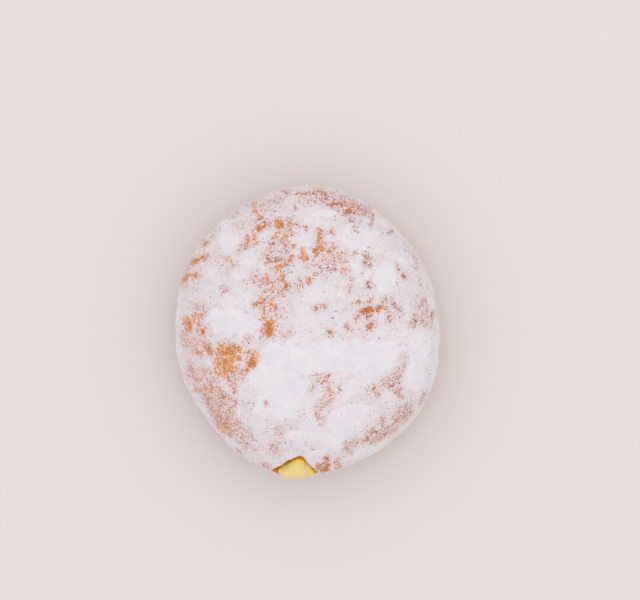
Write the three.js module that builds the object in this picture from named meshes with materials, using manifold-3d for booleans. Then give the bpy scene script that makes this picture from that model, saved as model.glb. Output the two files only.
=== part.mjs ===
// A filled doughnut: a fried bun of yeast dough with a pocket of custard inside, which shows and swells out a
// little at the slit in its side.
//
// Millimetres, +Z up. The bun rests on its flat foot at z = 0, the slit opens towards -Y and a little upwards,
// and the origin is the middle of the footprint.
import * as THREE from "three";
import { mergeVertices } from "three/addons/utils/BufferGeometryUtils.js";
import Module from "manifold-3d";

// ---- Driving dimensions of the bun ----
const MEAN_RADIUS = 47.4; // of the outline seen from above, without its lobes
const HEIGHT = 48;
const BELT_Z = 20; // middle of the pale belt, which stayed out of the fat on both sides
const FOOT_SINK = 1.5; // the rounded underside is cut flat this far above its lowest point

// How full the two halves are: 2 is an ellipse, and more is squarer.
const DOME_FULLNESS = 2.45;
const BASE_FULLNESS = 2.7;
const DOME_LEAN = new THREE.Vector2(-0.8, 0.6); // the top of the dome lies this far off the base's middle

// Waves round the bun: how many in a turn, how high, and where one of them crests, in degrees from +X.
const OUTLINE_WAVES = [
  { count: 1, rise: 2.4, crest: -94 },
  { count: 2, rise: 2.0, crest: -84 },
  { count: 4, rise: 0.3, crest: -16 },
  { count: 5, rise: 0.2, crest: 34 },
  { count: 6, rise: 0.3, crest: 21 },
];
const BELT_WAVES = [
  { count: 2, rise: 1.2, crest: 20 },
  { count: 5, rise: 0.7, crest: 50 },
];

// The belt is a shallow groove, and above it the dome stands back where the lower half is the wider one.
const BELT = { depth: 0.8, halfHeight: 3.6 };
const LEDGES = [
  { at: 207, spread: 26, inset: 3.2 },
  { at: 42, spread: 24, inset: 1.5 },
  { at: -50, spread: 20, inset: 3.0 },
];
const LEDGE_RISE = { from: 1.5, to: 6.5 }; // heights above the belt's middle between which the dome stands back

// Low unevenness of the skin: broad swells and small puckers.
const SWELLS = { height: 0.6, length: 34, waves: 7, seed: 11 };
const PUCKERS = { height: 0.18, length: 9, waves: 16, seed: 29 };
const SWELL_CLEAR = 0.5; // the swells fade out below this slope away from the belt, where the waves are

// ---- Driving dimensions of the slit ----
// The opening has four sides, rounded corners, and one corner up, in a plane of its own that faces out and up.
const SLIT = {
  centre: new THREE.Vector3(-3.5, -47, 26.7),
  upward: 27, // degrees by which the opening faces above the horizontal
  sides: [
    // how far each side lies from the centre, and the way it faces, in degrees from across towards up
    { off: 6.8, facing: 159 },
    { off: 7.4, facing: 119 },
    { off: 5.2, facing: 18 },
    { off: 5.1, facing: -95 },
  ],
  sharpness: 12, // of the corners: 2 is round, and more is more pointed
  radius: 8, // rough distance from the centre to a corner
  throat: 0.84, // the passage behind the lips, as a share of the opening
  flare: 2.2, // depth over which the lips widen from the throat to the opening
};
const LIP = { lift: 0.8, width: 0.3 }; // the rim round the opening, width as a share of the slit's radius
const DENT = { depth: 3.9, reach: 1.6, from: -1.5 }; // the skin is drawn in, most above the slit, in slit radii
const PLEATS = { height: 0.3, count: 9, from: 1.1, to: 3.2 }; // folds on the slit's right, in slit radii
const SLIT_REACH = { from: -24, to: -10 }; // depth behind the opening where the skin stops following it

// ---- Driving dimensions of the custard ----
const POCKET = {
  centre: new THREE.Vector3(-1, 1, 20),
  half: new THREE.Vector3(21, 20, 8.2),
};
const NECK_LENGTH = 30;
// The custard's swelling: how far it stands out, how full, its width against the opening, how far it sags and
// lies to the right in it, and the sharpness of its corners, which leave those of the opening empty.
const SWELLING = { length: 4, fullness: 0.6, width: 0.9, sag: 4, aside: 0.3, sharpness: 4 };
const WALL_GAP = 0.3; // clearance between dough and custard

// ---- Fineness of the meshes ----
const BUN_DETAIL = 20; // subdivisions of the icosahedron under the bun's skin
const SLIT_FOCUS = 0.6; // draws the skin's corners towards the slit, 0 for an even spread
const RING_SIDES = 56;
const NECK_RINGS = 5;
const SWELLING_RINGS = 10;
const POCKET_SIDES = { round: 32, high: 14 };
const MERGE_DISTANCE = 1e-3;

const manifold = await Module();
manifold.setup();

// ---- Small helpers ----
const radians = THREE.MathUtils.degToRad;
const smoothstep = THREE.MathUtils.smoothstep;
const bell = (x) => Math.exp(-x * x);

// The sum of a list of waves at an azimuth.
function waveHeight(waves, azimuth) {
  const heightOf = ({ count, rise, crest }) => rise * Math.cos(count * (azimuth - radians(crest)));
  return waves.reduce((sum, wave) => sum + heightOf(wave), 0);
}

// A repeatable random number in 0..1 for each call.
function seededRandom(seed) {
  const MULTIPLIER = 16807;
  const MODULUS = 2147483647;
  let state = seed;
  return () => {
    state = (state * MULTIPLIER) % MODULUS;
    return state / MODULUS;
  };
}

// A smooth uneven field of about the given height: plane waves in random directions and phases.
function unevenField({ height, length, waves, seed }) {
  const random = seededRandom(seed);
  const parts = Array.from({ length: waves }, () => {
    const way = new THREE.Vector3(random() - 0.5, random() - 0.5, random() - 0.5);
    way.setLength((2 * Math.PI) / (length * (0.75 + 0.5 * random())));
    return { way, phase: 2 * Math.PI * random() };
  });
  const share = height / Math.sqrt(waves);
  return (point) => share * parts.reduce((sum, { way, phase }) => sum + Math.sin(way.dot(point) + phase), 0);
}

// A closed three.js geometry as a manifold-3d solid.
function solidFrom(geometry) {
  const bare = geometry.clone();
  bare.deleteAttribute("normal");
  bare.deleteAttribute("uv");
  const merged = mergeVertices(bare, MERGE_DISTANCE);
  const vertProperties = new Float32Array(merged.attributes.position.array);
  const triVerts = new Uint32Array(merged.index.array);
  return new manifold.Manifold(new manifold.Mesh({ numProp: 3, vertProperties, triVerts }));
}

// A manifold-3d solid as a three.js geometry.
function geometryFrom(solid) {
  const { numProp, numVert, vertProperties, triVerts } = solid.getMesh();
  const places = new Float32Array(numVert * 3);
  for (let i = 0; i < numVert; i++) {
    places.set(vertProperties.subarray(i * numProp, i * numProp + 3), i * 3);
  }
  return closedGeometry(places, triVerts);
}

function closedGeometry(places, faces) {
  const geometry = new THREE.BufferGeometry();
  geometry.setAttribute("position", new THREE.Float32BufferAttribute(places, 3));
  geometry.setIndex(Array.from(faces));
  geometry.computeVertexNormals();
  return geometry;
}

// ---- The slit's own frame: u across, v up along the opening, w out of it ----
const slitAcross = new THREE.Vector3(1, 0, 0);
const slitOut = new THREE.Vector3(0, -Math.cos(radians(SLIT.upward)), Math.sin(radians(SLIT.upward)));
const slitUp = new THREE.Vector3().crossVectors(slitAcross, slitOut).negate();

function fromSlitFrame(u, v, w) {
  const point = SLIT.centre.clone();
  point.addScaledVector(slitAcross, u);
  point.addScaledVector(slitUp, v);
  return point.addScaledVector(slitOut, w);
}

function inSlitFrame(point) {
  const from = point.clone().sub(SLIT.centre);
  return { u: from.dot(slitAcross), v: from.dot(slitUp), w: from.dot(slitOut) };
}

// Distance from the opening's centre to its edge, at an angle from across towards up.
function slitRadius(angle, sharpness = SLIT.sharpness) {
  const nearness = ({ off, facing }) => Math.max(0, Math.cos(angle - radians(facing)) / off) ** sharpness;
  return SLIT.sides.reduce((sum, side) => sum + nearness(side), 0) ** (-1 / sharpness);
}

// How far the skin near the slit moves outwards, out of the opening's plane.
function lipShift(point) {
  const { u, v, w } = inSlitFrame(point);
  const angle = Math.atan2(v, u);
  const away = Math.hypot(u, v) / slitRadius(angle); // 1 on the opening's edge
  const rim = LIP.lift * bell((away - 1 - LIP.width) / LIP.width);
  const dent = DENT.depth * bell(away / DENT.reach) * smoothstep(v / SLIT.radius, DENT.from, 1);
  const middle = (PLEATS.from + PLEATS.to) / 2;
  const beside = bell((away - middle) / (PLEATS.to - middle)) * smoothstep(u, 0, SLIT.radius);
  const pleat = PLEATS.height * beside * Math.cos(PLEATS.count * angle);
  return (rim - dent + pleat) * smoothstep(w, SLIT_REACH.from, SLIT_REACH.to);
}

// ---- The bun ----
// How far the dome stands back from the outline at an azimuth.
function ledgeInset(azimuth) {
  return LEDGES.reduce((sum, { at, spread, inset }) => {
    const off = azimuth - radians(at);
    const turn = Math.atan2(Math.sin(off), Math.cos(off));
    return sum + inset * bell(turn / radians(spread));
  }, 0);
}

// The point of the plain bun, before its skin is made uneven, in a direction from its middle.
function bunPoint(direction) {
  const azimuth = Math.atan2(direction.y, direction.x);
  const upper = direction.z >= 0;
  const power = 2 / (upper ? DOME_FULLNESS : BASE_FULLNESS);
  const reach = upper ? HEIGHT - BELT_Z : BELT_Z + FOOT_SINK;
  const level = Math.hypot(direction.x, direction.y) ** power;
  const rise = Math.sign(direction.z) * reach * Math.abs(direction.z) ** power;
  const overBelt = rise - waveHeight(BELT_WAVES, azimuth);
  const groove = BELT.depth * bell(overBelt / BELT.halfHeight);
  const ledge = ledgeInset(azimuth) * smoothstep(overBelt, LEDGE_RISE.from, LEDGE_RISE.to);
  const outline = MEAN_RADIUS + waveHeight(OUTLINE_WAVES, azimuth);
  const radius = (outline - groove - ledge) * level;
  const lean = smoothstep(rise, 0, HEIGHT - BELT_Z);
  return new THREE.Vector3(
    radius * Math.cos(azimuth) + DOME_LEAN.x * lean,
    radius * Math.sin(azimuth) + DOME_LEAN.y * lean,
    BELT_Z + rise,
  );
}

// A direction turned towards the slit, so that the skin's triangles are finer there.
function focused(direction) {
  const slitWay = new THREE.Vector3(SLIT.centre.x, SLIT.centre.y, SLIT.centre.z - BELT_Z).normalize();
  const hinge = new THREE.Vector3().crossVectors(direction, slitWay);
  const angle = slitWay.angleTo(direction);
  if (hinge.lengthSq() === 0) {
    return direction.clone();
  }
  const turn = (SLIT_FOCUS * Math.sin(angle) * (1 + Math.cos(angle))) / 2;
  return direction.clone().applyAxisAngle(hinge.normalize(), turn);
}

function bunSolid() {
  const swell = unevenField(SWELLS);
  const pucker = unevenField(PUCKERS);
  const skin = new THREE.IcosahedronGeometry(1, BUN_DETAIL);
  const corners = skin.attributes.position;
  for (let i = 0; i < corners.count; i++) {
    const direction = focused(new THREE.Vector3().fromBufferAttribute(corners, i).normalize());
    const point = bunPoint(direction);
    const uneven = swell(point) * smoothstep(Math.abs(direction.z), 0, SWELL_CLEAR) + pucker(point);
    const shift = lipShift(point);
    point.addScaledVector(direction, uneven).addScaledVector(slitOut, shift);
    corners.setXYZ(i, point.x, point.y, point.z);
  }
  const side = 4 * MEAN_RADIUS;
  const aboveGround = new THREE.BoxGeometry(side, side, side);
  aboveGround.translate(0, 0, side / 2);
  return solidFrom(skin).intersect(solidFrom(aboveGround));
}

// ---- The room inside the bun, and the custard that fills it ----
// A closed tube of rings round the slit's axis. A ring is its place w along that axis, its scale against the
// opening, the sharpness of its corners, and its drop below and shift to the right of the axis. Every ring is
// drawn in by the same inset.
function tubeSolid(rings, inset) {
  const places = [];
  const faces = [];
  rings.forEach(({ w, scale, sharpness, drop = 0, aside = 0 }) => {
    for (let i = 0; i < RING_SIDES; i++) {
      const angle = (2 * Math.PI * i) / RING_SIDES;
      const radius = slitRadius(angle, sharpness) * scale - inset;
      places.push(...fromSlitFrame(radius * Math.cos(angle) + aside, radius * Math.sin(angle) - drop, w));
    }
  });
  const backCentre = places.length / 3;
  [rings[0], rings[rings.length - 1]].forEach(({ w, drop = 0, aside = 0 }) => {
    places.push(...fromSlitFrame(aside, -drop, w));
  });
  for (let i = 0; i < RING_SIDES; i++) {
    const next = (i + 1) % RING_SIDES;
    for (let k = 0; k + 1 < rings.length; k++) {
      const ring = k * RING_SIDES;
      const ahead = ring + RING_SIDES;
      faces.push(ring + i, ring + next, ahead + next);
      faces.push(ring + i, ahead + next, ahead + i);
    }
    const front = (rings.length - 1) * RING_SIDES;
    faces.push(backCentre, next, i);
    faces.push(backCentre + 1, front + i, front + next);
  }
  return solidFrom(closedGeometry(places, faces));
}

// The rings of the neck, from inside the pocket to just behind the lips.
const neckRings = Array.from({ length: NECK_RINGS }, (_, k) => ({
  w: -NECK_LENGTH + ((NECK_LENGTH - SLIT.flare) * k) / (NECK_RINGS - 1),
  scale: SLIT.throat,
}));

function pocketSolid(inset) {
  const { centre, half } = POCKET;
  const room = new THREE.SphereGeometry(1, POCKET_SIDES.round, POCKET_SIDES.high);
  room.scale(half.x - inset, half.y - inset, half.z - inset);
  room.translate(centre.x, centre.y, centre.z);
  return solidFrom(room);
}

// What the custard leaves out of the dough: the pocket, the neck, and the lips that widen to the opening.
function roomSolid() {
  const clear = SLIT.radius; // the cutter ends this far outside the opening
  const lips = [
    { w: 0, scale: 1 },
    { w: clear, scale: 1 },
  ];
  return pocketSolid(0).add(tubeSolid([...neckRings, ...lips], 0));
}

// The custard: it fills the room and ends in a smooth swelling between the lips, which sags a little.
function custardSolid() {
  const swelling = Array.from({ length: SWELLING_RINGS }, (_, k) => {
    const turn = ((Math.PI / 2) * k) / SWELLING_RINGS;
    const scale = SWELLING.width * Math.cos(turn) ** SWELLING.fullness;
    const drop = SWELLING.sag * (1 - scale);
    const { sharpness, aside } = SWELLING;
    return { w: SWELLING.length * Math.sin(turn), scale, sharpness, drop, aside };
  });
  return pocketSolid(WALL_GAP).add(tubeSolid([...neckRings, ...swelling], WALL_GAP));
}

// ---- The doughnut ----
const fried = new THREE.MeshStandardMaterial({ color: 0xc98b52, roughness: 0.75, metalness: 0 });
const custard = new THREE.MeshStandardMaterial({ color: 0xe8d28a, roughness: 0.35, metalness: 0 });

function piece(name, solid, material) {
  const mesh = new THREE.Mesh(geometryFrom(solid), material);
  mesh.name = name;
  return mesh;
}

const doughnut = new THREE.Group();
doughnut.add(piece("dough", bunSolid().subtract(roomSolid()), fried));
doughnut.add(piece("custard", custardSolid(), custard));

// The whole is moved so that the origin is the middle of its footprint.
const box = new THREE.Box3().setFromObject(doughnut);
const middle = box.getCenter(new THREE.Vector3());
doughnut.position.set(-middle.x, -middle.y, -box.min.z);

export default doughnut;
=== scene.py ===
"""A custard filled doughnut under icing sugar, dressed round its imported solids. Metres, +Z up."""

import itertools
import math

import bmesh
import bpy
import numpy as np
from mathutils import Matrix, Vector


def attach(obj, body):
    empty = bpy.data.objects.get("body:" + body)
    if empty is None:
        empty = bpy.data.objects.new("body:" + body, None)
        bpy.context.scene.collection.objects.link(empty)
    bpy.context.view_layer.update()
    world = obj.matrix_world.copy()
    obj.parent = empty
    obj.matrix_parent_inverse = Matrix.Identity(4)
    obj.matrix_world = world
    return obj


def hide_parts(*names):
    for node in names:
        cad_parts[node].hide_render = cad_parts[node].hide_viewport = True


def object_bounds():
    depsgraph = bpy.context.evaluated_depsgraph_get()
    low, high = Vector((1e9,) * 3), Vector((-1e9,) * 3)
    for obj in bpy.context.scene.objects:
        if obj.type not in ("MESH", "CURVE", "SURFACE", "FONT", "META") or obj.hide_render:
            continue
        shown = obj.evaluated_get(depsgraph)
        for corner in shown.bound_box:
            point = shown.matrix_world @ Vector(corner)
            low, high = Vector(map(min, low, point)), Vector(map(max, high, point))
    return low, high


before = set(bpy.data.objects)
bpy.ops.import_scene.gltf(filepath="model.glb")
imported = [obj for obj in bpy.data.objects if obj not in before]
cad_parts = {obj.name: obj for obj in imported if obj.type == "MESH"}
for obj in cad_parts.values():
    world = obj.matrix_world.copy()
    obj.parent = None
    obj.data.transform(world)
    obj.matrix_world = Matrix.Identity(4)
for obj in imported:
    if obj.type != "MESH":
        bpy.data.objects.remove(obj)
cad_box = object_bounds()

# ---- Sizes, in metres ----
MM = 0.001
BELT_Z = 20 * MM  # middle of the pale belt round the bun
BELT_WIDTH = 5 * MM
BELT_WANDER = 0.8 * MM  # that the belt's middle rises and falls on its way round
CRUST_VOXEL = 0.62 * MM  # width of the fine skins' facets
CUSTARD_VOXEL = 0.4 * MM
CRUST_ROUNDS = 30  # of smoothing, which take the voxels' steps off
CUSTARD_ROUNDS = 20
WELD = 0.001 * MM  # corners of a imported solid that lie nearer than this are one
BARE_INSET = 0.36 * MM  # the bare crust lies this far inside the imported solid
SUGAR_DEPTH = 0.24 * MM  # of the thickest sugar on it
LEAST_INSET = 0.05 * MM  # that the roughest sugar keeps
TEAR = 0.22 * MM  # how rough the torn edge in the slit is

# Relief in millimetres: how far it rises and falls, on the crust and on the custard.
WRINKLES = 0.07
FINE_WRINKLES = 0.035
CREASES = 0.06  # down the belt
POWDER = 0.045  # on drifts of sugar
RIPPLES = 0.16
FINE_RIPPLES = 0.05

# The room inside the bun, with a little to spare: a pocket in the middle, and the neck to it from the slit.
POCKET_RADIUS = 26 * MM
POCKET_HALF_HEIGHT = 11 * MM
NECK_WALL = 1.04  # from the neck's middle, in radii of the slit's opening
NECK_INNER_END = -34 * MM  # out of the opening, so this is inside
NECK_OUTER_END = 1.5 * MM

# Loose sugar: how many grains and clumps, and their least and largest sizes in millimetres.
GRAIN_COUNT = 6000
GRAIN_SIZES = (0.2, 0.36)
CLUMP_COUNT = 1400
CLUMP_SIZES = (0.35, 0.6)
LUMP_JITTER = 0.25  # millimetres that one lies off its place on the skin, each way
LUMP_UNEVEN = 0.3  # share by which its corners lie further in or out than a ball's
LUMP_SINK = 0.45  # share of its size that is pressed into the skin
LUMP_REACH = (1 + LUMP_UNEVEN) / 2 + 0.5 - LUMP_SINK  # of its size, how far it reaches at most

# The slit's opening: its middle, how far it faces up, and the ways across it, up it and out of it.
SLIT_MIDDLE = np.array([-3.3, -44.4, 26.7]) * MM
SLIT_UPWARD = math.radians(27)
SLIT_ACROSS = np.array([1.0, 0, 0])
SLIT_UP = np.array([0, math.sin(SLIT_UPWARD), math.cos(SLIT_UPWARD)])
SLIT_OUT = np.array([0, -math.cos(SLIT_UPWARD), math.sin(SLIT_UPWARD)])

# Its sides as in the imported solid: how far each lies from the middle, and the way it faces, in degrees from
# across towards up. The higher the sharpness, the tighter the corners between them.
SLIT_SIDES = [(6.8 * MM, 159), (7.4 * MM, 119), (5.2 * MM, 18), (5.1 * MM, -95)]
SLIT_SHARPNESS = 12

# The lips' own outline round that opening, each point as degrees from across towards up, and millimetres.
LIPS = [
    (-150, 9.2),
    (-122, 8.0),
    (-92, 7.3),
    (-64, 8.0),
    (-44, 8.9),
    (-28, 8.2),
    (0, 5.7),
    (40, 5.1),
    (64, 5.7),
    (84, 8.2),
    (98, 7.2),
    (116, 6.2),
    (144, 5.4),
    (180, 7.2),
]
TUCKED_IN = 1.3 * MM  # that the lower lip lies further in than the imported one
LIP_WIDTH = 0.14  # of the lips' bare cut edge above and below, in radii of the opening
LIP_WIDENING = 0.06  # that it is wider at both sides

# The custard at the slit.
SWELL_LENGTH = 4.3 * MM  # how far the custard swells out of the slit
SWELL_STEP = 1.4 * MM  # that it rises straight from the slit at the top
SWELL_SAG = 0.8 * MM  # that the outermost custard hangs lower
SWELL_ASIDE = -2.0 * MM  # that the outermost custard leans to the left
SWELL_FILL = 0.97  # share of the lips' outline that it takes up
SWELL_ROUNDED = 0.22  # radians over which its outline is rounder than the lips
SWELL_OFFSET = (0.8 * MM, -0.9 * MM)  # of the custard from the middle of the slit, across and up
SWELL_SPILL = 0.04  # share by which it is wider than the slit below, where it lies on the lower lip
SWELL_FULLNESS = 2.6  # how blunt its end is, and how much blunter at the top
SWELL_TOP_FULLNESS = 3.2
SWELL_ROOT = -7 * MM  # where the swelling starts, inside the slit
SWELL_NECK = -4 * MM  # where it is nearly as wide as at the lips
SWELL_SIDES = 72
SWELL_RINGS = 16
SLIMMER = 0.3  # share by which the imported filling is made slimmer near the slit, under the swelling
SHADE_BORDER = 0.7 * MM  # how far out of the slit the custard is painted ochre: painted shade of the slit, with the lips' fried colour
SHADE_BORDER_RIGHT = 2.2 * MM  # that it does so further at the right corner

# The camera looks straight down, and the sugar's pattern is laid out as it is seen from there.
PATTERN_MIDDLE = np.array([0.16, 0.25]) * MM
EYE = np.array([4.2, 10.8, 800]) * MM
VIEW_WIDTH = 217 * MM  # that the camera takes in from left to right, at the belt's height
SENSOR = 36.0  # millimetres
NEAREST_SEEN = 10 * MM

# The stage: a wide level floor under an even sky, with one broad soft lamp.
FLOOR_HALF = 4
SKY_STRENGTH = 0.96
LAMP_SIDE = 1.4
LAMP_PLACE = (0.1, 0.35, 1.5)
LAMP_WATTS = 2.9

# ---- Where the sugar is thin, gone or thick ----
# Each trail is (width, amount, place, place, ...). Width and places are in millimetres, and the places count
# from the pattern's middle as seen from above. The amount is how bare it is, or for a drift how full.
RUBBED_BARE = [
    (1.8, 1.0, (-16.7, 34.9), (-14.0, 36.5)),
    (2.1, 1.0, (-10.0, 36.9), (-10.0, 35.8)),
    (1.2, 0.8, (-6.7, 37.2), (-6.4, 36.4)),
    (1.2, 0.7, (-11.4, 31.8), (-10.4, 33.2)),
    (1.1, 0.74, (-9.8, 33.4), (-8.4, 33.0), (-7.0, 29.8)),
    (0.8, 0.78, (-5.9, 33.9), (-5.8, 33.0)),
    (1.2, 0.7, (-20.8, 31.8), (-20.2, 30.8), (-18.6, 30.2), (-17.7, 30.4)),
    (1.4, 0.76, (-18.8, 33.4), (-18.4, 31.4)),
    (1.0, 0.84, (-18.7, 44.0), (-18.4, 42.0), (-17.2, 40.2)),
    (1.9, 0.66, (-16.9, 39.4), (-16.4, 38.8)),
    (1.2, 0.72, (-14.2, 25.8)),
    (2.0, 0.84, (-10.6, 21.4), (-9.4, 22.0)),
    (1.2, 0.8, (-9.2, 22.6), (-7.6, 23.2), (-5.2, 25.4)),
    (1.1, 0.7, (-14.2, 19.8), (-13.9, 17.8), (-12.8, 16.4)),
    (1.4, 0.68, (-9.0, 19.2), (-8.5, 17.4)),
    (2.4, 0.94, (-8.0, 16.2), (-7.6, 15.0)),
    (1.0, 0.58, (-8.6, 13.8), (-9.8, 13.0), (-11.2, 11.6)),
    (1.6, 0.74, (-17.6, 9.0), (-16.4, 10.0), (-15.0, 10.8)),
    (1.5, 0.85, (-13.4, 9.8), (-12.2, 8.6), (-11.2, 7.4)),
    (2.6, 0.64, (-15.4, 8.8), (-14.8, 7.4)),
    (1.6, 0.72, (-13.4, 8.4), (-12.8, 6.8)),
    (3.4, 0.95, (-13.0, 2.3), (-13.8, 0.0)),
    (1.4, 0.86, (-15.6, 4.9), (-15.0, 4.2)),
    (1.5, 0.96, (-1.8, 27.2), (-1.8, 25.6)),
    (2.2, 1.0, (-2.2, 25.0), (-1.0, 24.8)),
    (1.9, 0.9, (-0.4, 17.3), (0.4, 17.1)),
    (1.2, 0.8, (-4.5, 42.3)),
    (1.4, 0.82, (-39.4, 23.0), (-37.4, 24.4), (-35.0, 25.6)),
    (1.4, 0.64, (-35.2, 29.4), (-34.6, 30.4)),
    (1.0, 0.55, (-41.8, 20.4), (-40.4, 23.0)),
    (1.5, 0.9, (-43.0, 16.2), (-42.2, 17.8), (-40.4, 19.2), (-38.2, 18.6)),
    (3.2, 0.86, (-40.5, 3.4), (-40.6, 0.8)),
    (1.3, 0.78, (-37.0, 4.0), (-37.2, 2.2)),
    (1.1, 0.74, (-38.8, 4.9), (-36.6, 5.2), (-35.0, 6.2)),
    (1.6, 0.96, (-36.1, 0.0)),
    (1.9, 0.85, (3.9, 34.0), (3.9, 31.2)),
    (2.3, 0.95, (3.6, 30.6), (4.6, 27.6)),
    (1.5, 0.8, (5.0, 25.6), (5.4, 24.2)),
    (2.0, 0.96, (4.2, 27.6), (2.6, 27.8), (2.8, 26.4)),
    (0.8, 0.7, (8.3, 34.8), (8.3, 33.6)),
    (1.2, 0.64, (6.8, 26.0), (7.6, 27.4), (9.0, 28.0)),
    (1.0, 0.68, (14.8, 25.9), (16.0, 26.7)),
    (1.2, 0.52, (19.2, 25.7), (20.6, 25.0)),
    (1.2, 0.8, (11.2, 20.6), (12.4, 19.9), (14.6, 17.7)),
    (2.2, 0.94, (7.8, 43.4), (10.8, 43.5)),
    (1.9, 1.0, (13.2, 40.3), (13.9, 40.9)),
    (1.6, 0.6, (11.8, 42.6), (13.4, 43.2), (17.0, 42.8)),
    (2.3, 0.66, (15.2, 40.6), (17.0, 40.8), (18.2, 40.2)),
    (1.9, 0.68, (2.4, 47.2), (5.8, 47.4)),
    (1.6, 0.97, (17.6, 6.6), (19.6, 6.6), (20.8, 7.6)),
    (1.4, 0.9, (20.8, 6.8), (23.6, 7.0)),
    (1.2, 0.84, (23.6, 7.2), (24.6, 8.2), (26.6, 7.6)),
    (1.1, 0.95, (20.4, 4.7), (21.2, 4.8)),
    (2.0, 0.97, (20.8, 1.4), (21.6, 2.2)),
    (1.1, 0.85, (17.1, 9.1)),
    (1.0, 0.85, (21.0, 10.0)),
    (0.9, 0.74, (17.3, 5.6), (16.5, 4.2)),
    (1.0, 0.6, (27.2, 5.6), (27.9, 3.4)),
    (1.8, 0.62, (39.2, 10.6), (38.6, 8.8)),
    (1.1, 0.6, (42.8, 6.6), (42.4, 5.0)),
    (7.6, 0.81, (-27.8, -9.2), (-28.4, -11.8)),
    (2.2, 0.68, (-31.8, -9.8), (-31.3, -14.2)),
    (2.4, 0.62, (-28.4, -14.4), (-27.6, -15.6)),
    (4.4, 0.8, (-29.6, -8.6), (-30.2, -12.4)),
    (2.2, 0.74, (-29.4, -5.6), (-25.6, -5.6), (-23.6, -6.8)),
    (3.3, 1.0, (-19.0, -9.6), (-19.6, -11.2)),
    (1.3, 0.9, (-18.0, -9.2), (-17.6, -8.7)),
    (1.5, 0.92, (-20.2, -12.2), (-21.1, -13.3)),
    (0.9, 0.74, (-20.6, -7.1), (-17.0, -7.3)),
    (2.2, 0.66, (-35.0, -5.0), (-33.4, -7.8)),
    (1.6, 0.7, (-39.0, -7.3), (-36.4, -7.2)),
    (1.9, 0.68, (-37.8, -16.6)),
    (1.7, 0.68, (-37.6, -19.8), (-34.6, -20.4), (-31.0, -19.4)),
    (1.6, 0.55, (-35.8, -20.8), (-34.6, -22.0), (-33.8, -24.6)),
    (1.4, 0.62, (-31.0, -26.2), (-30.4, -28.6)),
    (2.6, 0.66, (-30.2, -32.2), (-27.6, -33.8), (-26.2, -34.8)),
    (1.6, 0.6, (-26.0, -32.2), (-23.4, -31.2)),
    (1.7, 0.58, (-23.6, -41.0)),
    (2.0, 0.94, (7.4, -20.0), (7.8, -21.2)),
    (1.1, 0.62, (10.6, -19.4), (10.6, -20.6)),
    (1.1, 0.6, (6.4, -15.8), (6.8, -15.2)),
    (1.3, 0.54, (3.6, -26.4), (4.6, -27.2)),
    (2.8, 0.56, (26.6, -18.0), (27.6, -19.0)),
    (1.4, 0.64, (22.4, -20.4), (23.6, -21.6)),
    (1.9, 0.62, (30.4, -20.8), (31.6, -22.2)),
    (1.1, 0.58, (12.8, -39.8), (13.4, -40.2), (14.6, -41.2)),
    (0.9, 0.76, (18.4, -37.5), (20.4, -37.3)),
    (2.6, 0.66, (21.8, -37.2), (23.4, -36.2)),
    (1.4, 0.72, (21.8, -34.2), (23.6, -34.8)),
    (1.1, 0.58, (26.8, -34.6), (26.4, -35.4)),
    (1.1, 0.56, (26.8, -33.4), (29.2, -31.8), (30.7, -29.8)),
    (1.1, 0.55, (38.4, -24.6), (39.8, -21.6)),
    (1.8, 0.98, (6.2, -43.4), (6.3, -47.4)),
    (1.8, 0.8, (3.8, -46.4), (4.8, -47.6)),
    (1.7, 0.82, (9.9, -44.8), (10.3, -47.2)),
]
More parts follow.
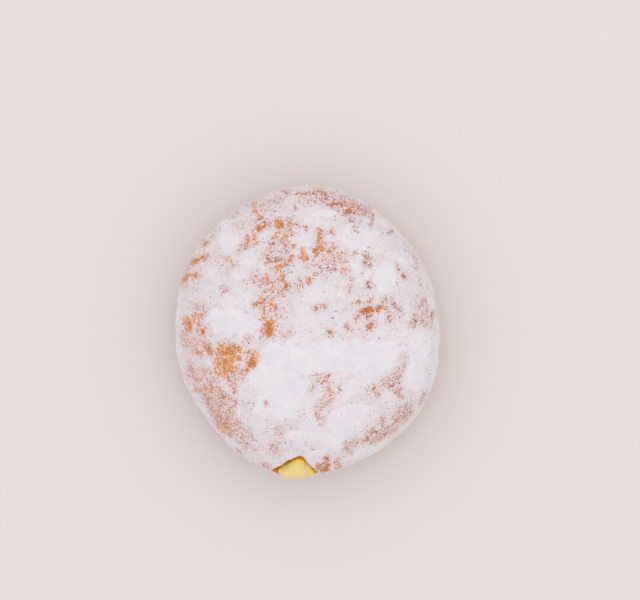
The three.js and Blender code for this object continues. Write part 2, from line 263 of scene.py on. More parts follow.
SPECKLED = [
    (1.1, 0.62, (-20.8, -2.4), (-20.9, -3.4), (-20.2, -4.0)),
    (1.2, 0.8, (-14.4, -24.2), (-14.2, -25.0)),
    (0.8, 0.66, (-7.8, -1.4), (-6.6, -0.9)),
    (1.4, 0.94, (7.0, -0.1), (7.9, -0.8)),
    (1.2, 0.84, (13.1, 2.0), (13.6, 0.4)),
    (1.0, 0.72, (19.2, 23.0), (19.6, 22.2), (21.2, 22.2)),
    (1.1, 0.64, (30.2, 22.2), (30.8, 20.4)),
    (0.8, 0.66, (32.3, 18.8), (32.6, 18.3)),
    (1.0, 0.6, (27.4, 33.6), (28.2, 34.0)),
    (1.3, 0.56, (15.3, 35.4), (16.3, 34.0)),
    (8.0, 0.16, (-24.0, 37.0), (-14.0, 43.0), (2.0, 46.0)),
    (2.4, 0.4, (-16.6, 42.6), (-15.2, 40.6)),
    (2.6, 0.32, (14.8, 38.2), (17.6, 37.4)),
    (3.0, 0.36, (-0.6, 22.4), (2.2, 24.4)),
    (4.0, 0.3, (3.0, 22.8), (3.6, 20.0)),
    (3.0, 0.3, (-2.6, 18.0), (-2.6, 14.4)),
    (2.0, 0.3, (-32.2, 32.0), (-29.6, 35.4)),
    (2.4, 0.42, (-24.0, 28.0), (-21.6, 29.2)),
    (1.4, 0.38, (-12.4, 29.8), (-11.9, 25.4)),
    (1.9, 0.62, (-12.0, 24.4), (-9.2, 24.8)),
    (1.4, 0.5, (-14.2, 24.6), (-14.0, 22.6)),
    (1.6, 0.5, (-7.8, 29.2), (-4.6, 29.2)),
    (1.6, 0.54, (-5.6, 36.0), (-3.2, 36.0), (-0.2, 35.0)),
    (4.0, 0.36, (-17.2, 19.2), (-16.8, 17.0)),
    (2.4, 0.32, (-27.4, 24.6), (-25.2, 22.4)),
    (2.6, 0.38, (-28.8, 14.6), (-27.4, 14.4)),
    (8.0, 0.23, (-9.6, 30.0), (-11.6, 14.0)),
    (3.0, 0.22, (-40.4, 8.6), (-36.0, 8.6)),
    (4.0, 0.15, (-37.4, 21.0), (-36.4, 15.0)),
    (3.4, 0.34, (-42.0, 0.0), (-41.4, -3.8), (-38.4, -4.0)),
    (2.0, 0.5, (-7.0, 47.0), (-9.0, 48.0)),
    (1.4, 0.5, (-3.6, 46.6), (1.4, 47.0)),
    (4.0, 0.44, (6.0, 46.0), (13.0, 44.0), (20.0, 40.6)),
    (1.6, 0.48, (22.2, 39.0), (21.2, 36.2)),
    (5.4, 0.38, (8.0, 28.0), (8.6, 23.4), (12.6, 25.0)),
    (3.0, 0.42, (11.4, 23.6), (13.4, 20.6)),
    (1.6, 0.42, (6.4, 21.2), (9.6, 21.0)),
    (1.2, 0.41, (20.6, 16.8), (20.8, 15.4)),
    (1.4, 0.42, (14.2, 15.6), (14.0, 13.4)),
    (1.6, 0.27, (36.2, 25.6), (37.6, 22.8), (37.8, 16.0)),
    (2.0, 0.33, (26.2, 11.4), (28.4, 10.0), (30.8, 6.8)),
    (7.0, 0.19, (39.2, 9.4), (39.2, 3.4)),
    (2.2, 0.5, (36.6, 5.4), (35.6, 2.0)),
    (1.9, 0.56, (2.8, 8.0), (5.6, 8.6)),
    (7.6, 0.38, (-34.4, -16.4), (-31.4, -24.0), (-27.6, -31.6)),
    (4.5, 0.54, (-29.8, -23.2), (-26.4, -24.0)),
    (6.0, 0.51, (-31.0, -26.6), (-28.0, -31.6)),
    (6.0, 0.29, (-23.4, -33.0), (-22.8, -36.4)),
    (2.6, 0.38, (-39.8, -13.2), (-38.4, -16.0)),
    (3.0, 0.3, (-25.0, -16.4), (-22.8, -15.0)),
    (3.0, 0.38, (-26.4, -17.8), (-25.4, -20.4)),
    (4.0, 0.27, (-10.0, -34.4), (-11.2, -40.0)),
    (2.0, 0.4, (-17.0, -46.2), (-13.6, -46.4)),
    (4.0, 0.24, (5.6, -16.8), (7.2, -18.6)),
    (4.0, 0.46, (7.0, -22.2), (4.8, -25.6)),
    (2.4, 0.38, (3.6, -28.8), (4.8, -31.0)),
    (1.6, 0.46, (0.4, -20.4), (2.0, -19.4)),
    (4.0, 0.31, (32.2, -9.8), (30.2, -16.2)),
    (4.8, 0.35, (24.8, -19.8), (27.8, -17.2)),
    (3.4, 0.38, (13.4, -38.8), (16.4, -37.6)),
    (3.4, 0.36, (20.6, -35.6), (24.0, -36.0), (28.0, -33.6)),
    (5.0, 0.37, (31.0, -29.6), (33.6, -27.2)),
    (2.4, 0.42, (30.2, -31.2), (33.2, -28.8)),
    (1.6, 0.38, (25.6, -32.6), (25.4, -29.8)),
]
DRIFTS = [
    (12.0, 1.0, (-12.0, -9.0), (28.0, -9.0)),
    (14.0, 1.0, (-14.0, -16.0), (-6.0, -20.0)),
    (10.0, 1.0, (-30.0, 3.6), (-21.6, 3.2)),
    (8.0, 1.0, (-28.0, 34.0), (-26.6, 30.0)),
    (6.0, 0.82, (-35.4, 11.8), (-33.0, 13.0)),
    (9.0, 1.0, (14.6, 32.2), (19.0, 32.0)),
    (8.0, 1.0, (38.4, -2.0), (36.0, -17.0)),
    (3.6, 1.0, (17.0, -41.8), (21.6, -40.4)),
    (9.0, 0.98, (-14.6, -24.8), (-6.6, -26.0)),
    (3.6, 0.96, (2.0, 40.4), (7.8, 40.0)),
    (8.0, 0.95, (27.0, 20.4), (26.0, 16.0)),
    (8.0, 0.86, (0.6, 12.6), (6.0, 13.2)),
    (8.0, 0.98, (9.6, -31.0), (17.2, -27.2)),
    (2.2, 0.94, (-43.6, -15.4), (-38.8, -24.6)),
    (8.0, 0.86, (13.0, -20.4), (21.0, -16.6)),
    (7.0, 0.86, (-4.0, -36.0), (4.0, -36.4)),
    (3.0, 1.0, (2.0, -41.8), (5.2, -41.2)),
    (12.0, 0.82, (-1.0, 3.4), (10.0, 3.4)),
    (8.0, 0.83, (26.0, -1.4), (33.0, -1.4)),
    (6.0, 0.84, (-29.0, 10.6), (-26.0, 10.4)),
    (6.0, 0.84, (24.6, 28.4)),
    (6.0, 0.85, (-23.6, 20.0)),
    (2.6, 0.9, (-44.2, 11.0), (-44.8, 4.0), (-44.2, -10.0)),
    (2.6, 0.9, (44.2, -2.0), (43.2, -15.0)),
    (1.4, 0.96, (8.1, -45.2), (8.2, -47.4)),
]
HALO = 1.8 * MM  # of thinner sugar round each trail
HALO_AMOUNT = 0.35  # share of the trail's amount
RAGGED = 0.8  # of a trail's fade, how far its edge wanders
SPREAD_COVER = 0.77  # how full the sugar lies where no place above says otherwise
COVER_BELOW = 0.68  # how full it lies below the belt, out of sight from above
LEAST_COVER = -0.2  # where the crust is rubbed quite clean
WARMTH = 0.17  # of the crust's colour in the gaps between thin sugar, in the middle of the bun
WARMTH_ASIDE = 0.22  # that it is lower at the right and higher at the left
SIDE = 40 * MM  # how far from the middle that is

# The noise behind all unevenness.
LATTICE = 48  # side of its table of random values
NOISE_GAIN = 1.6  # brings its values up to about -1 to 1


# ---- Sums on whole arrays of points ----
def smoothstep(low, high, value):
    """From 0 at low to 1 at high, smoothly: low may be the larger one."""
    share = np.clip((value - low) / (high - low), 0, 1)
    return share * share * (3 - 2 * share)


def bell(value):
    """1 at 0, falling smoothly to 0 on both sides."""
    return np.exp(-value * value)


def noise(points, spacing, seed, layers=1):
    """Smooth random values at points, mostly from -1 to 1.

    Each further layer is half as coarse and half as strong."""
    table = np.random.default_rng(seed).uniform(-1, 1, (LATTICE,) * 3)
    total = np.zeros(len(points))
    for layer in range(layers):
        places = points * 2**layer / spacing + LATTICE * 100
        cell = np.floor(places).astype(int)
        part = smoothstep(0, 1, places - cell)
        for corner in itertools.product((0, 1), repeat=3):
            share = np.prod(np.where(corner, part, 1 - part), axis=1)
            total += share * table[tuple(((cell + corner) % LATTICE).T)] * NOISE_GAIN / 2**layer
    return total


def seen_from_above(points):
    """Where points appear from the eye, as places at the belt's height."""
    reach = (EYE[2] - BELT_Z) / (EYE[2] - points[:, 2])
    return EYE[:2] + (points[:, :2] - EYE[:2]) * reach[:, None]


def in_slit(points):
    """Places across, up and out of the slit's opening, and the distance from its middle in its radii.

    The last is 1 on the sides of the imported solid's opening."""
    from_middle = points - SLIT_MIDDLE
    across = from_middle[:, 0]
    up = from_middle @ SLIT_UP
    out = from_middle @ SLIT_OUT
    nearness = np.zeros(len(points))
    for off, facing in SLIT_SIDES:
        beyond = (across * math.cos(math.radians(facing)) + up * math.sin(math.radians(facing))) / off
        nearness += np.maximum(0, beyond) ** SLIT_SHARPNESS
    return across, up, out, nearness ** (1 / SLIT_SHARPNESS)


def from_slit(across, up, out):
    """Points in the shared frame from places across, up and out of the slit's opening."""
    return SLIT_MIDDLE + np.outer(across, SLIT_ACROSS) + np.outer(up, SLIT_UP) + np.outer(out, SLIT_OUT)


def lip_radius(turn):
    """How far the lips lie from the slit's middle at each angle, on a smooth closed curve."""
    degrees, millimetres = zip(*LIPS)
    angles = np.radians(degrees)
    radii = np.array(millimetres) * MM
    angles = np.concatenate([angles[-2:] - 2 * math.pi, angles, angles[:2] + 2 * math.pi])
    radii = np.concatenate([radii[-2:], radii, radii[:2]])
    turn = (turn - angles[1]) % (2 * math.pi) + angles[1]
    cell = np.clip(np.searchsorted(angles, turn, side="right") - 1, 1, len(angles) - 3)
    span = angles[cell + 1] - angles[cell]
    share = (turn - angles[cell]) / span
    slope = np.gradient(radii, angles)
    rise = share * share * (3 - 2 * share)
    curve = radii[cell] * (1 - rise) + radii[cell + 1] * rise
    curve += span * slope[cell] * share * (1 - share) ** 2
    return curve - span * slope[cell + 1] * share**2 * (1 - share)


def drawn_to_lips(points):
    """Points near the slit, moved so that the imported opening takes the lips' own outline."""
    across, up, out, away = in_slit(points)
    turn = np.arctan2(up, across)
    packed = np.hypot(across, up) / np.maximum(away, 1e-6)
    near = (1 - smoothstep(1.0, 2.2, away)) * smoothstep(-24 * MM, -12 * MM, out)
    grown = 1 + (lip_radius(turn) / packed - 1) * near
    low = (1 - smoothstep(1.0, 2.0, away)) * smoothstep(-3 * MM, -7 * MM, up)
    low *= smoothstep(-8 * MM, -2 * MM, out)
    return from_slit(across * grown, up * grown, out - TUCKED_IN * low)


# ---- How much sugar lies where ----
def strongest(trails, seen, ragged):
    """The largest amount of any of these trails at each point, fading over ragged edges."""
    most = np.zeros(len(seen))
    for width, amount, *places in trails:
        starts = np.array(places) * MM + PATTERN_MIDDLE
        ends = starts[1:] if len(places) > 1 else starts
        half = width * MM / 2
        fade = 0.2 * half + 0.3 * MM  # a wider trail ends more softly
        reach = half + HALO
        for start, end in zip(starts, ends):
            above_least = seen > np.minimum(start, end) - reach
            below_most = seen < np.maximum(start, end) + reach
            near = (above_least & below_most).all(1)
            off = seen[near] - start
            run = end - start
            share = np.clip(off @ run / max(run @ run, 1e-12), 0, 1)
            away = np.linalg.norm(off - share[:, None] * run, axis=1)
            beyond = away - half + ragged[near] * RAGGED * fade
            trail = 1 - smoothstep(-fade, fade, beyond)
            halo = HALO_AMOUNT * (1 - smoothstep(0, HALO, beyond))
            most[near] = np.maximum(most[near], amount * np.maximum(trail, halo))
    return most


def bare_lip(across, out, away, ragged):
    """From 0 to 1, where the lips of the slit show their cut edge."""
    width = LIP_WIDTH + LIP_WIDENING * smoothstep(0.5 * MM, 4 * MM, abs(across))
    lip = smoothstep(1.02 + width, 1.0 + 0.6 * width, away + 0.015 * ragged)
    return lip * smoothstep(-5 * MM, -1 * MM, out)


def sugar_cover(points, across, out, away):
    """How full the sugar lies, how warm the crust shows through it, and where the lips are bare.

    The cover goes from 0, bare crust, to 1, a thick drift, and is a little below 0 where rubbed clean."""
    height = points[:, 2]
    seen = seen_from_above(points)
    aside = seen[:, 0] / SIDE
    ragged = noise(points, 2.0 * MM, seed=3, layers=3)

    # Above the belt: an even spread with drifts on it, less what is speckled or rubbed off, which noise
    # breaks up on the steep sides.
    spread = SPREAD_COVER + 0.03 * aside + 0.09 * noise(points, 5 * MM, seed=5, layers=2)
    spread = np.maximum(spread, strongest(DRIFTS, seen, ragged))
    steep = smoothstep(30 * MM, 24 * MM, height)
    broken = 1 - 0.75 * steep * smoothstep(-0.4, 0.4, noise(points, 3.5 * MM, seed=9, layers=2))
    rubbed = strongest(RUBBED_BARE, seen, ragged) * broken
    above = spread - np.maximum(strongest(SPECKLED, seen, ragged) * broken, rubbed)

    # Below the belt: an uneven cover, thinner towards the foot.
    low = smoothstep(BELT_Z - 4 * MM, 1 * MM, height)
    below = COVER_BELOW + 0.16 * noise(points, 7 * MM, seed=8, layers=3) - 0.5 * low
    from_above = smoothstep(BELT_Z - 2 * MM, BELT_Z + 5 * MM, height)
    cover = above * from_above + below * (1 - from_above)

    # The crust shows warmest where it is rubbed bare, a little less so at the right, and near the foot.
    warmth = WARMTH - WARMTH_ASIDE * aside + 0.15 * noise(points, 9 * MM, seed=6)
    fresh = smoothstep(0.35, 0.85, rubbed) * (1 - 0.22 * smoothstep(-5 * MM, 5 * MM, seen[:, 0]))
    warmth = np.maximum(warmth, fresh) * from_above + (0.3 + 0.6 * low) * (1 - from_above)

    lip = bare_lip(across, out, away, ragged)
    return np.clip(cover * (1 - lip), LEAST_COVER, 1), np.clip(np.maximum(warmth, lip), 0, 1), lip


# ---- Meshes ----
def coordinates(mesh):
    flat = np.empty(len(mesh.vertices) * 3)
    mesh.vertices.foreach_get("co", flat)
    return flat.reshape(-1, 3)


def normals(mesh):
    flat = np.empty(len(mesh.vertices) * 3)
    mesh.vertex_normals.foreach_get("vector", flat)
    return flat.reshape(-1, 3)


def move_to(mesh, points):
    mesh.vertices.foreach_set("co", points.ravel())
    mesh.update()


def store(mesh, name, values):
    """Keeps one number for each vertex, for the materials to read."""
    layer = mesh.attributes.new(name, "FLOAT", "POINT")
    layer.data.foreach_set("value", values.astype(np.float32))


def add_object(name, data):
    obj = bpy.data.objects.new(name, data)
    bpy.context.scene.collection.objects.link(obj)
    return obj


def welded(node):
    """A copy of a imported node's shape with its facets joined at their corners."""
    shape = bmesh.new()
    shape.from_mesh(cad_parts[node].data)
    bmesh.ops.remove_doubles(shape, verts=shape.verts, dist=WELD)
    return shape


def fine_skin(shape, voxel):
    """A new fine mesh over a closed shape."""
    mesh = bpy.data.meshes.new("rough")
    shape.to_mesh(mesh)
    shape.free()
    rough = add_object("rough", mesh)
    remesh = rough.modifiers.new("remesh", "REMESH")
    remesh.mode = "VOXEL"
    remesh.voxel_size = voxel
    evaluated = rough.evaluated_get(bpy.context.evaluated_depsgraph_get())
    fine = bpy.data.meshes.new_from_object(evaluated)
    bpy.data.objects.remove(rough)
    bpy.data.meshes.remove(mesh)
    fine.materials.clear()
    return fine


def relaxed(mesh, rounds, freedom):
    """The mesh's points after each has moved towards its neighbours' middle so many times."""
    points = coordinates(mesh)
    ends = np.empty(len(mesh.edges) * 2, dtype=int)
    mesh.edges.foreach_get("vertices", ends)
    first, second = ends.reshape(-1, 2).T
    near = np.concatenate([second, first])
    own = np.concatenate([first, second])
    count = np.bincount(own)
    for _ in range(rounds):
        middles = [np.bincount(own, weights=points[near, axis]) / count for axis in range(3)]
        points += 0.5 * freedom[:, None] * (np.stack(middles, 1) - points)
    return points


def lumps(name, places, outward, sizes, rng):
    """One mesh of many small uneven lumps, each pressed a little into the skin at its place."""
    ball = bmesh.new()
    bmesh.ops.create_icosphere(ball, subdivisions=1, radius=1)
    corners = np.array([corner.co for corner in ball.verts])
    faces = np.array([[corner.index for corner in face.verts] for face in ball.faces])
    ball.free()
    count = len(places)
    uneven = corners * rng.uniform(1 - LUMP_UNEVEN, 1 + LUMP_UNEVEN, (count, len(corners), 1))
    turns = rng.normal(size=(count, 4))
    # Each lump's turn is a random quaternion w, x, y, z, written out as a matrix.
    w, x, y, z = (turns / np.linalg.norm(turns, axis=1, keepdims=True)).T
    spin = np.array(
        [
            [1 - 2 * (y * y + z * z), 2 * (x * y - w * z), 2 * (x * z + w * y)],
            [2 * (x * y + w * z), 1 - 2 * (x * x + z * z), 2 * (y * z - w * x)],
            [2 * (x * z - w * y), 2 * (y * z + w * x), 1 - 2 * (x * x + y * y)],
        ]
    )
    turned = np.einsum("ijn,nkj->nki", spin, uneven) * (sizes / 2)[:, None, None]
    middles = places + outward * (sizes * (0.5 - LUMP_SINK))[:, None]
    points = (turned + middles[:, None, :]).reshape(-1, 3)
    joined = (faces[None] + len(corners) * np.arange(count)[:, None, None]).reshape(-1, 3)
    mesh = bpy.data.meshes.new(name)
    mesh.from_pydata(points.tolist(), [], joined.tolist())
    return mesh


# ---- The pieces ----
def crust_relief(points, away, cover, belt):
    """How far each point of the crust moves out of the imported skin: never above 0, so it stays inside."""
    drift = smoothstep(0.3, 1.0, cover)
    wrinkles = WRINKLES * noise(points, 3.4 * MM, seed=21, layers=2)
    wrinkles += FINE_WRINKLES * noise(points, 1.5 * MM, seed=22)
    creases = CREASES * noise(points * [1, 1, 0.3], 2.2 * MM, seed=24, layers=2) * belt
    powder = POWDER * noise(points, 1.4 * MM, seed=23, layers=2) * drift
    relief = wrinkles * (1 - 0.5 * drift) + powder + creases
    lift = drift * SUGAR_DEPTH - BARE_INSET + relief * MM
    lift = np.minimum(lift, -LEAST_INSET) * smoothstep(0.1 * MM, 2.5 * MM, points[:, 2])
    return lift * smoothstep(1.0, 1.12, away)


def make_crust():
    """The fried skin, how full the sugar lies at each of its points, the points, and the ways they face."""
    mesh = fine_skin(welded("dough"), CRUST_VOXEL)
    # The skin is smoothed less near the slit, so that the lips stay crisp.
    away = in_slit(coordinates(mesh))[3]
    move_to(mesh, relaxed(mesh, CRUST_ROUNDS, 0.3 + 0.7 * smoothstep(1.1, 2.4, away)))
    # Places in the slit are taken before its lips move, so that they still go by its packed sides.
    across, _, out, away = in_slit(coordinates(mesh))
    move_to(mesh, drawn_to_lips(coordinates(mesh)))
    points, outward = coordinates(mesh), normals(mesh)
    over_belt = points[:, 2] - BELT_Z

    # The room inside has no sugar and no belt.
    pocket = (np.hypot(points[:, 0], points[:, 1]) < POCKET_RADIUS) & (abs(over_belt) < POCKET_HALF_HEIGHT)
    neck = (away < NECK_WALL) & (out > NECK_INNER_END) & (out < NECK_OUTER_END)
    room = neck | pocket
    cover, warmth, lip = sugar_cover(points, across, out, away)
    cover[room] = 0
    belt = bell((over_belt - BELT_WANDER * noise(points, 14 * MM, seed=31)) / BELT_WIDTH)

    torn = TEAR * noise(points, 1.8 * MM, seed=25, layers=2) * smoothstep(-12 * MM, -2 * MM, out)
    lift = np.where(room, torn * neck, crust_relief(points, away, cover, belt))
    move_to(mesh, points + outward * lift[:, None])
    mesh.shade_smooth()
    store(mesh, "cover", cover)
    store(mesh, "warmth", warmth)
    store(mesh, "belt", np.where(room, 0, belt))
    store(mesh, "cut", smoothstep(-9 * MM, -4 * MM, out))
    store(mesh, "room", np.maximum(room, lip))
    return add_object("crust", mesh), cover, coordinates(mesh), normals(mesh)


def add_swelling(shape):
    """Adds the custard that fills the slit and swells out of it, like a small full cushion."""
    turn = np.linspace(0, 2 * math.pi, SWELL_SIDES, endpoint=False)
    topness = np.maximum(0, np.sin(turn))
    lowness = np.maximum(0, -np.sin(turn))
    rim = (lip_radius(turn - SWELL_ROUNDED) + lip_radius(turn) + lip_radius(turn + SWELL_ROUNDED)) / 3
    fullness = SWELL_FULLNESS + SWELL_TOP_FULLNESS * topness
    straight = SWELL_STEP * topness
    # Each level is how far out it lies all round, and how much of the rim it fills.
    levels = [(np.full(SWELL_SIDES, SWELL_ROOT), 0.96), (np.full(SWELL_SIDES, SWELL_NECK), 0.98)]
    for fill in np.linspace(1, 0, SWELL_RINGS)[:-1]:
        levels.append((straight + (SWELL_LENGTH - straight) * (1 - fill**fullness), fill))
    rings = []
    for out, fill in levels:
        share = np.maximum(out, 0) / SWELL_LENGTH
        spill = 1 + SWELL_SPILL * lowness * smoothstep(0, 0.12, share)
        reach = rim * fill * SWELL_FILL * spill
        across = reach * np.cos(turn) + SWELL_OFFSET[0] + SWELL_ASIDE * share
        up = reach * np.sin(turn) + SWELL_OFFSET[1] - SWELL_SAG * share
        rings.append([shape.verts.new(spot) for spot in from_slit(across, up, out)])
    for inner, outer in zip(rings, rings[1:]):
        for side in range(SWELL_SIDES):
            shape.faces.new([inner[side - 1], inner[side], outer[side], outer[side - 1]])
    shape.faces.new(rings[0])
    shape.faces.new(rings[-1])
    bmesh.ops.recalc_face_normals(shape, faces=shape.faces)


def make_custard():
    """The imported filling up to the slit, and the swelling that goes on from there, under one fine skin."""
    shape = welded("custard")
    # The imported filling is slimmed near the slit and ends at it, so the swelling takes over from it there.
    across, up, out, _ = in_slit(np.array([corner.co for corner in shape.verts]))
    slimmer = 1 - SLIMMER * smoothstep(-14 * MM, -6 * MM, out)
    slimmed = from_slit(across * slimmer, up * slimmer, np.minimum(out, 0))
    for corner, spot in zip(shape.verts, slimmed):
        corner.co = spot
    add_swelling(shape)
    mesh = fine_skin(shape, CUSTARD_VOXEL)
    move_to(mesh, relaxed(mesh, CUSTARD_ROUNDS, np.ones(len(mesh.vertices))))
    points, outward = coordinates(mesh), normals(mesh)
    across, up, out, _ = in_slit(points)
    swollen = smoothstep(-1 * MM, 2 * MM, out)
    ripple = RIPPLES * noise(points, 4.5 * MM, seed=41) + FINE_RIPPLES * noise(points, 1.6 * MM, seed=42)
    move_to(mesh, points + outward * (ripple * MM * swollen)[:, None])
    mesh.shade_smooth()
    # The border along the lips, on all but the custard's underside, painted ochre as the slit's shade with
    # the lips' fried colour, and the golden edge beside it.
    border = SHADE_BORDER - 0.1 * across + SHADE_BORDER_RIGHT * smoothstep(2 * MM, 6.5 * MM, across)
    upper = smoothstep(-5 * MM, -1 * MM, up + np.maximum(0, across - 3.5 * MM))
    store(mesh, "edge", smoothstep(border + 1.6 * MM, border + 0.2 * MM, out) * upper)
    # Painted shade: the custard's border in the slit takes a darker ochre, with the lips' fried colour.
    store(mesh, "inside", smoothstep(border + 0.3 * MM, border - 0.6 * MM, out) * upper)
    return add_object("custard_filling", mesh)


def scatter_sugar(name, count, sizes, chance, points, outward, seed):
    """Loose sugar on the skin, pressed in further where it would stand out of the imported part's box."""
    rng = np.random.default_rng(seed)
    chosen = rng.choice(len(points), count, replace=False, p=chance / chance.sum())
    size = rng.uniform(*sizes, count) * MM
    jitter = rng.uniform(-LUMP_JITTER, LUMP_JITTER, (count, 3)) * MM
    reach = LUMP_REACH * size[:, None]
    lowest = np.add(cad_box[0], reach)
    highest = np.subtract(cad_box[1], reach)
    places = np.clip(points[chosen] + jitter, lowest, highest)
    return add_object(name, lumps(name, places, outward[chosen], size, rng))


# ---- Materials ----
class Wire:
    """An output of a node in a material. Sums on it add Math nodes to the same material."""

    def __init__(self, tree, socket=None):
        self.tree = tree
        self.socket = socket

    def node(self, kind, settings, sockets, output=0):
        """Adds any other node: its settings first, then the values or wires of its sockets."""
        made = self.tree.nodes.new(kind)
        for key, value in settings.items():
            setattr(made, key, value)
        set_sockets(made, sockets)
        return Wire(self.tree, made.outputs[output])

    def maths(self, operation, *values):
        return self.node("ShaderNodeMath", {"operation": operation}, dict(enumerate(values)))

    def __add__(self, other):
        return self.maths("ADD", self, other)

    def __sub__(self, other):
        return self.maths("SUBTRACT", self, other)

    def __mul__(self, other):
        return self.maths("MULTIPLY", self, other)

    def __rsub__(self, other):
        return self.maths("SUBTRACT", other, self)

    __radd__ = __add__
    __rmul__ = __mul__

    def step(self, low, high):
        """From 0 below low to 1 above high, smoothly."""
        limits = {"Value": self, "From Min": low, "From Max": high}
        return self.node("ShaderNodeMapRange", {"interpolation_type": "SMOOTHSTEP"}, limits)


def set_sockets(node, sockets):
    """Gives each of these sockets of a node its value, or links the wire to it."""
    for key, value in sockets.items():
        if isinstance(value, Wire):
            value.tree.links.new(value.socket, node.inputs[key])
        else:
            node.inputs[key].default_value = value


def material(name):
    """A new material, its node maker, and the Principled shader that it ends in."""
    made = bpy.data.materials.new(name)
    made.use_nodes = True
    return made, Wire(made.node_tree), made.node_tree.nodes["Principled BSDF"]


def stored(maker, name):
    """The number that the mesh keeps under this name."""
    return maker.node("ShaderNodeAttribute", {"attribute_name": name}, {}, "Fac")


def grain(maker, size, detail):
    """Noise from 0 to 1 with features of about this size."""
    place = maker.node("ShaderNodeTexCoord", {}, {}, "Object")
    return maker.node("ShaderNodeTexNoise", {}, {"Vector": place, "Scale": 1 / size, "Detail": detail})


def mix(maker, factor, first, second):
    """The first colour where factor is 0, the second where it is 1.

    A Mix node's colours go in at its sockets 6 and 7, and come out at 2."""
    return maker.node("ShaderNodeMix", {"data_type": "RGBA"}, {0: factor, 6: first, 7: second}, 2)


def bump(maker, height, distance):
    return maker.node("ShaderNodeBump", {}, {"Height": height, "Distance": distance})


def linear(red, green, blue):
    """An sRGB colour from 0 to 255 as a linear one."""
    parts = [value / 255 for value in (red, green, blue)]
    return tuple(((p + 0.055) / 1.055) ** 2.4 if p > 0.04045 else p / 12.92 for p in parts) + (1.0,)


# The crust's own colours, where it shows between the sugar and where it is rubbed clean, and the crust in the
# gaps darkened by painted shade.
FRIED_DARK = linear(216, 142, 84)
FRIED_MIDDLE = linear(226, 162, 106)
FRIED_LIGHT = linear(232, 182, 128)
FRIED_CLEAN = linear(206, 125, 46)
FRIED_COLD = linear(162, 110, 110)
# The crust in the gaps between the sugar, darker with painted shade.
GAP_SHADE_CLEAN = linear(190, 106, 40)
GAP_SHADE_WARM = linear(190, 124, 82)
GAP_SHADE_COLD = linear(126, 84, 86)
PALE_BELT = linear(228, 202, 176)
CUT_INNER = linear(226, 196, 130)
CUT_AT_LIPS = linear(202, 134, 48)

# The sugar's colours, from a dusting through a film to a full cover, and the painted shade of small pits in
# that.
DUSTING_COLD = linear(214, 180, 176)
DUSTING_WARM = linear(244, 204, 184)
FILM_COLD = linear(222, 205, 208)
FILM_WARM = linear(238, 198, 178)
POWDER_THIN = linear(226, 206, 204)
POWDER_SHADE = linear(223, 219, 225)
POWDER_WHITE = linear(230, 225, 228)
# Painted shade in small pits of the sugar.
PIT_SHADE = linear(154, 122, 126)
LUMP_SHADE = linear(230, 221, 225)
LUMP_WHITE = linear(240, 236, 240)

CUSTARD_DARK = linear(233, 209, 136)
CUSTARD_LIGHT = linear(237, 215, 147)
CUSTARD_GOLDEN = linear(250, 224, 100)
# Painted shade of the slit, with the lips' fried colour, for the custard's border between the lips.
CUSTARD_SHADE_AND_FRIED_COLOUR = linear(208, 142, 40)
FLOOR_COLOUR = linear(226, 217, 216)


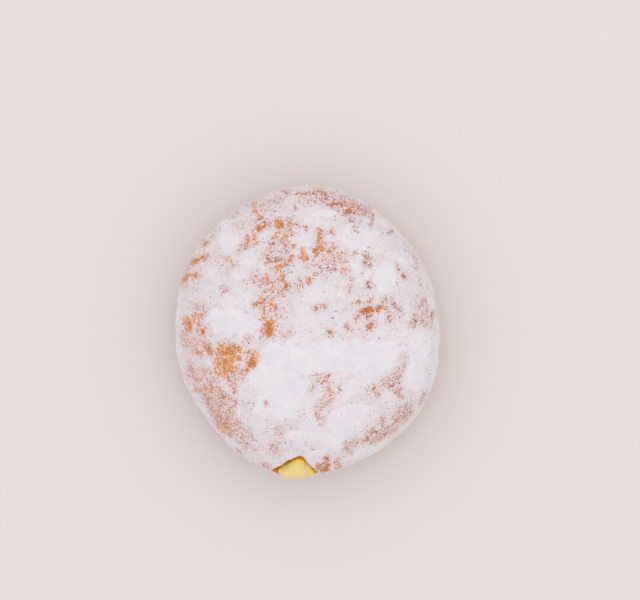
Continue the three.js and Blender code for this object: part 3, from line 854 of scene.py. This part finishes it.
def sugared_crust():
    """Fried dough under sugar of uneven depth, with a bare cut edge and a bare room inside."""
    made, maker, shader = material("sugared fried crust")
    cover = stored(maker, "cover")
    belt = stored(maker, "belt")
    warmth = stored(maker, "warmth")

    # The sugar at each spot is its cover with fine speckles, which fade out in thick sugar.
    fine = grain(maker, 0.42 * MM, detail=1)
    coarse = grain(maker, 1.2 * MM, detail=2)
    tone = grain(maker, 2.6 * MM, detail=3)
    loose = 1 - cover.step(0.45, 0.9) * 0.85
    speckle = ((fine - 0.5) * 2.3 + (coarse - 0.5) * 1.6) * loose * (1 - belt * 0.4)
    sugar = cover + speckle

    # The bare crust, with painted shade in the gaps between the sugar, and the belt's paler one.
    fried = mix(maker, tone.step(0.36, 0.5), FRIED_DARK, FRIED_MIDDLE)
    fried = mix(maker, tone.step(0.5, 0.66), fried, FRIED_LIGHT)
    fried = mix(maker, cover.step(LEAST_COVER, 0.02), FRIED_CLEAN, fried)
    pitted = mix(maker, warmth, FRIED_COLD, fried)
    # Painted shade: where the sugar dips lowest, the crust in the gaps is darker.
    warm_gap_shade = mix(maker, cover.step(LEAST_COVER, 0.02), GAP_SHADE_CLEAN, GAP_SHADE_WARM)
    gap_shade = mix(maker, warmth, GAP_SHADE_COLD, warm_gap_shade)
    bare = mix(maker, sugar.step(-0.5, -0.05), gap_shade, pitted)
    crust = mix(maker, belt * 0.85, bare, PALE_BELT)

    # The sugar on it: a dusting, a film and a full cover, each where there is more of it than of the last.
    thin = 1 - cover.step(0.1, 0.6)
    dusting = mix(maker, warmth * 0.6 + thin * 0.4, DUSTING_COLD, DUSTING_WARM)
    dusted = mix(maker, sugar.step(0.08, 0.34), crust, dusting)
    film = mix(maker, thin * warmth, FILM_COLD, FILM_WARM)
    filmed = mix(maker, sugar.step(0.3, 0.55), dusted, film)
    tint = grain(maker, 5 * MM, detail=3)
    powder = mix(maker, tint.step(0.3, 0.7), POWDER_SHADE, POWDER_WHITE)
    powder = mix(maker, cover.step(0.25, 0.72), POWDER_THIN, powder)
    outside = mix(maker, sugar.step(0.58, 0.98), filmed, powder)

    # Painted shade in small pits, in loose groups, and the cut edge and the room inside.
    pit_shade = grain(maker, 0.75 * MM, detail=0).step(0.69, 0.75) * (1 - cover.step(0.84, 0.96)) * (1 - belt)
    pit_shade = pit_shade * grain(maker, 4.5 * MM, detail=1).step(0.47, 0.6)
    outside = mix(maker, pit_shade * 0.75, outside, PIT_SHADE)
    cut = mix(maker, stored(maker, "cut"), CUT_INNER, CUT_AT_LIPS)
    colour = mix(maker, stored(maker, "room"), outside, cut)

    normal = bump(maker, sugar * 0.6 + fine * 0.5, 0.1 * MM)
    rough = sugar.step(0.1, 0.5) * 0.4 + 0.55
    set_sockets(shader, {"Base Color": colour, "Roughness": rough, "Normal": normal})
    set_sockets(shader, {"Subsurface Weight": 0.08, "Subsurface Scale": 0.6 * MM})
    return made


def icing_sugar():
    """Matt white, for the loose grains and clumps."""
    made, maker, shader = material("icing sugar")
    tint = grain(maker, 3 * MM, detail=2)
    colour = mix(maker, tint.step(0.3, 0.7), LUMP_SHADE, LUMP_WHITE)
    set_sockets(shader, {"Base Color": colour, "Roughness": 0.95})
    set_sockets(shader, {"Subsurface Weight": 0.1, "Subsurface Scale": 0.5 * MM})
    return made


def custard():
    """Smooth pale cream, golden near the lips, and ochre where it comes out between them: painted shade of
    the slit with the lips' fried colour.
    """
    made, maker, shader = material("custard")
    tone = grain(maker, 4 * MM, detail=3)
    body = mix(maker, tone.step(0.3, 0.7), CUSTARD_DARK, CUSTARD_LIGHT)
    golden = mix(maker, stored(maker, "edge"), body, CUSTARD_GOLDEN)
    # Painted shade and the lips' fried colour on the custard's border in the slit.
    colour = mix(maker, stored(maker, "inside"), golden, CUSTARD_SHADE_AND_FRIED_COLOUR)
    normal = bump(maker, grain(maker, 1.6 * MM, detail=3), 0.1 * MM)
    set_sockets(shader, {"Base Color": colour, "Roughness": 0.38, "Normal": normal})
    set_sockets(shader, {"Subsurface Weight": 0.5, "Subsurface Scale": 2.5 * MM})
    return made


# ---- The stage ----
def make_stage():
    """A wide pale floor under an even sky, a broad lamp overhead, and the camera."""
    bare = bmesh.new()
    bmesh.ops.create_grid(bare, x_segments=8, y_segments=8, size=FLOOR_HALF)
    mesh = bpy.data.meshes.new("floor")
    bare.to_mesh(mesh)
    bare.free()
    floor = add_object("floor", mesh)
    made, _, shader = material("pale floor")
    set_sockets(shader, {"Base Color": FLOOR_COLOUR, "Roughness": 0.7})
    mesh.materials.append(made)

    world = bpy.data.worlds.new("soft light")
    bpy.context.scene.world = world
    world.use_nodes = True
    set_sockets(world.node_tree.nodes["Background"], {"Color": (1, 1, 1, 1), "Strength": SKY_STRENGTH})
    light = bpy.data.lights.new("overhead", "AREA")
    light.size = LAMP_SIDE
    light.energy = LAMP_WATTS
    lamp = add_object("overhead", light)
    lamp.location = LAMP_PLACE
    bpy.context.scene.view_settings.view_transform = "Standard"

    camera = add_object("camera", bpy.data.cameras.new("camera"))
    camera.location = EYE
    camera.data.sensor_width = SENSOR
    camera.data.lens = SENSOR * (EYE[2] - BELT_Z) / VIEW_WIDTH
    camera.data.clip_start = NEAREST_SEEN
    bpy.context.scene.camera = camera


# ---- All together ----
def dress(obj, finish, nodes=()):
    """Gives a piece its finish and its slot on the one body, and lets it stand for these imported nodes."""
    obj.data.materials.append(finish)
    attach(obj, "root")
    if nodes:
        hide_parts(*nodes)


def add_loose_sugar(cover, skin, outward):
    """Grains where the sugar is thin or rubbed off, and clumps where it is full, on the bun's upper half.

    None lie on the cut lips or in the room inside, where the cover is exactly 0."""
    finish = icing_sugar()
    upper = smoothstep(20 * MM, 32 * MM, skin[:, 2])
    loose = (bell((cover - 0.55) / 0.25) + 0.8 * smoothstep(0.35, 0.1, cover)) * upper * (cover != 0)
    grains = scatter_sugar("sugar_grains", GRAIN_COUNT, GRAIN_SIZES, loose, skin, outward, seed=51)
    dress(grains, finish)
    full = upper * smoothstep(0.45, 0.9, cover)
    clumps = scatter_sugar("sugar_clumps", CLUMP_COUNT, CLUMP_SIZES, full, skin, outward, seed=52)
    dress(clumps, finish)


crust, cover, skin, outward = make_crust()
dress(crust, sugared_crust(), ["dough"])
dress(make_custard(), custard(), ["custard"])
add_loose_sugar(cover, skin, outward)
make_stage()
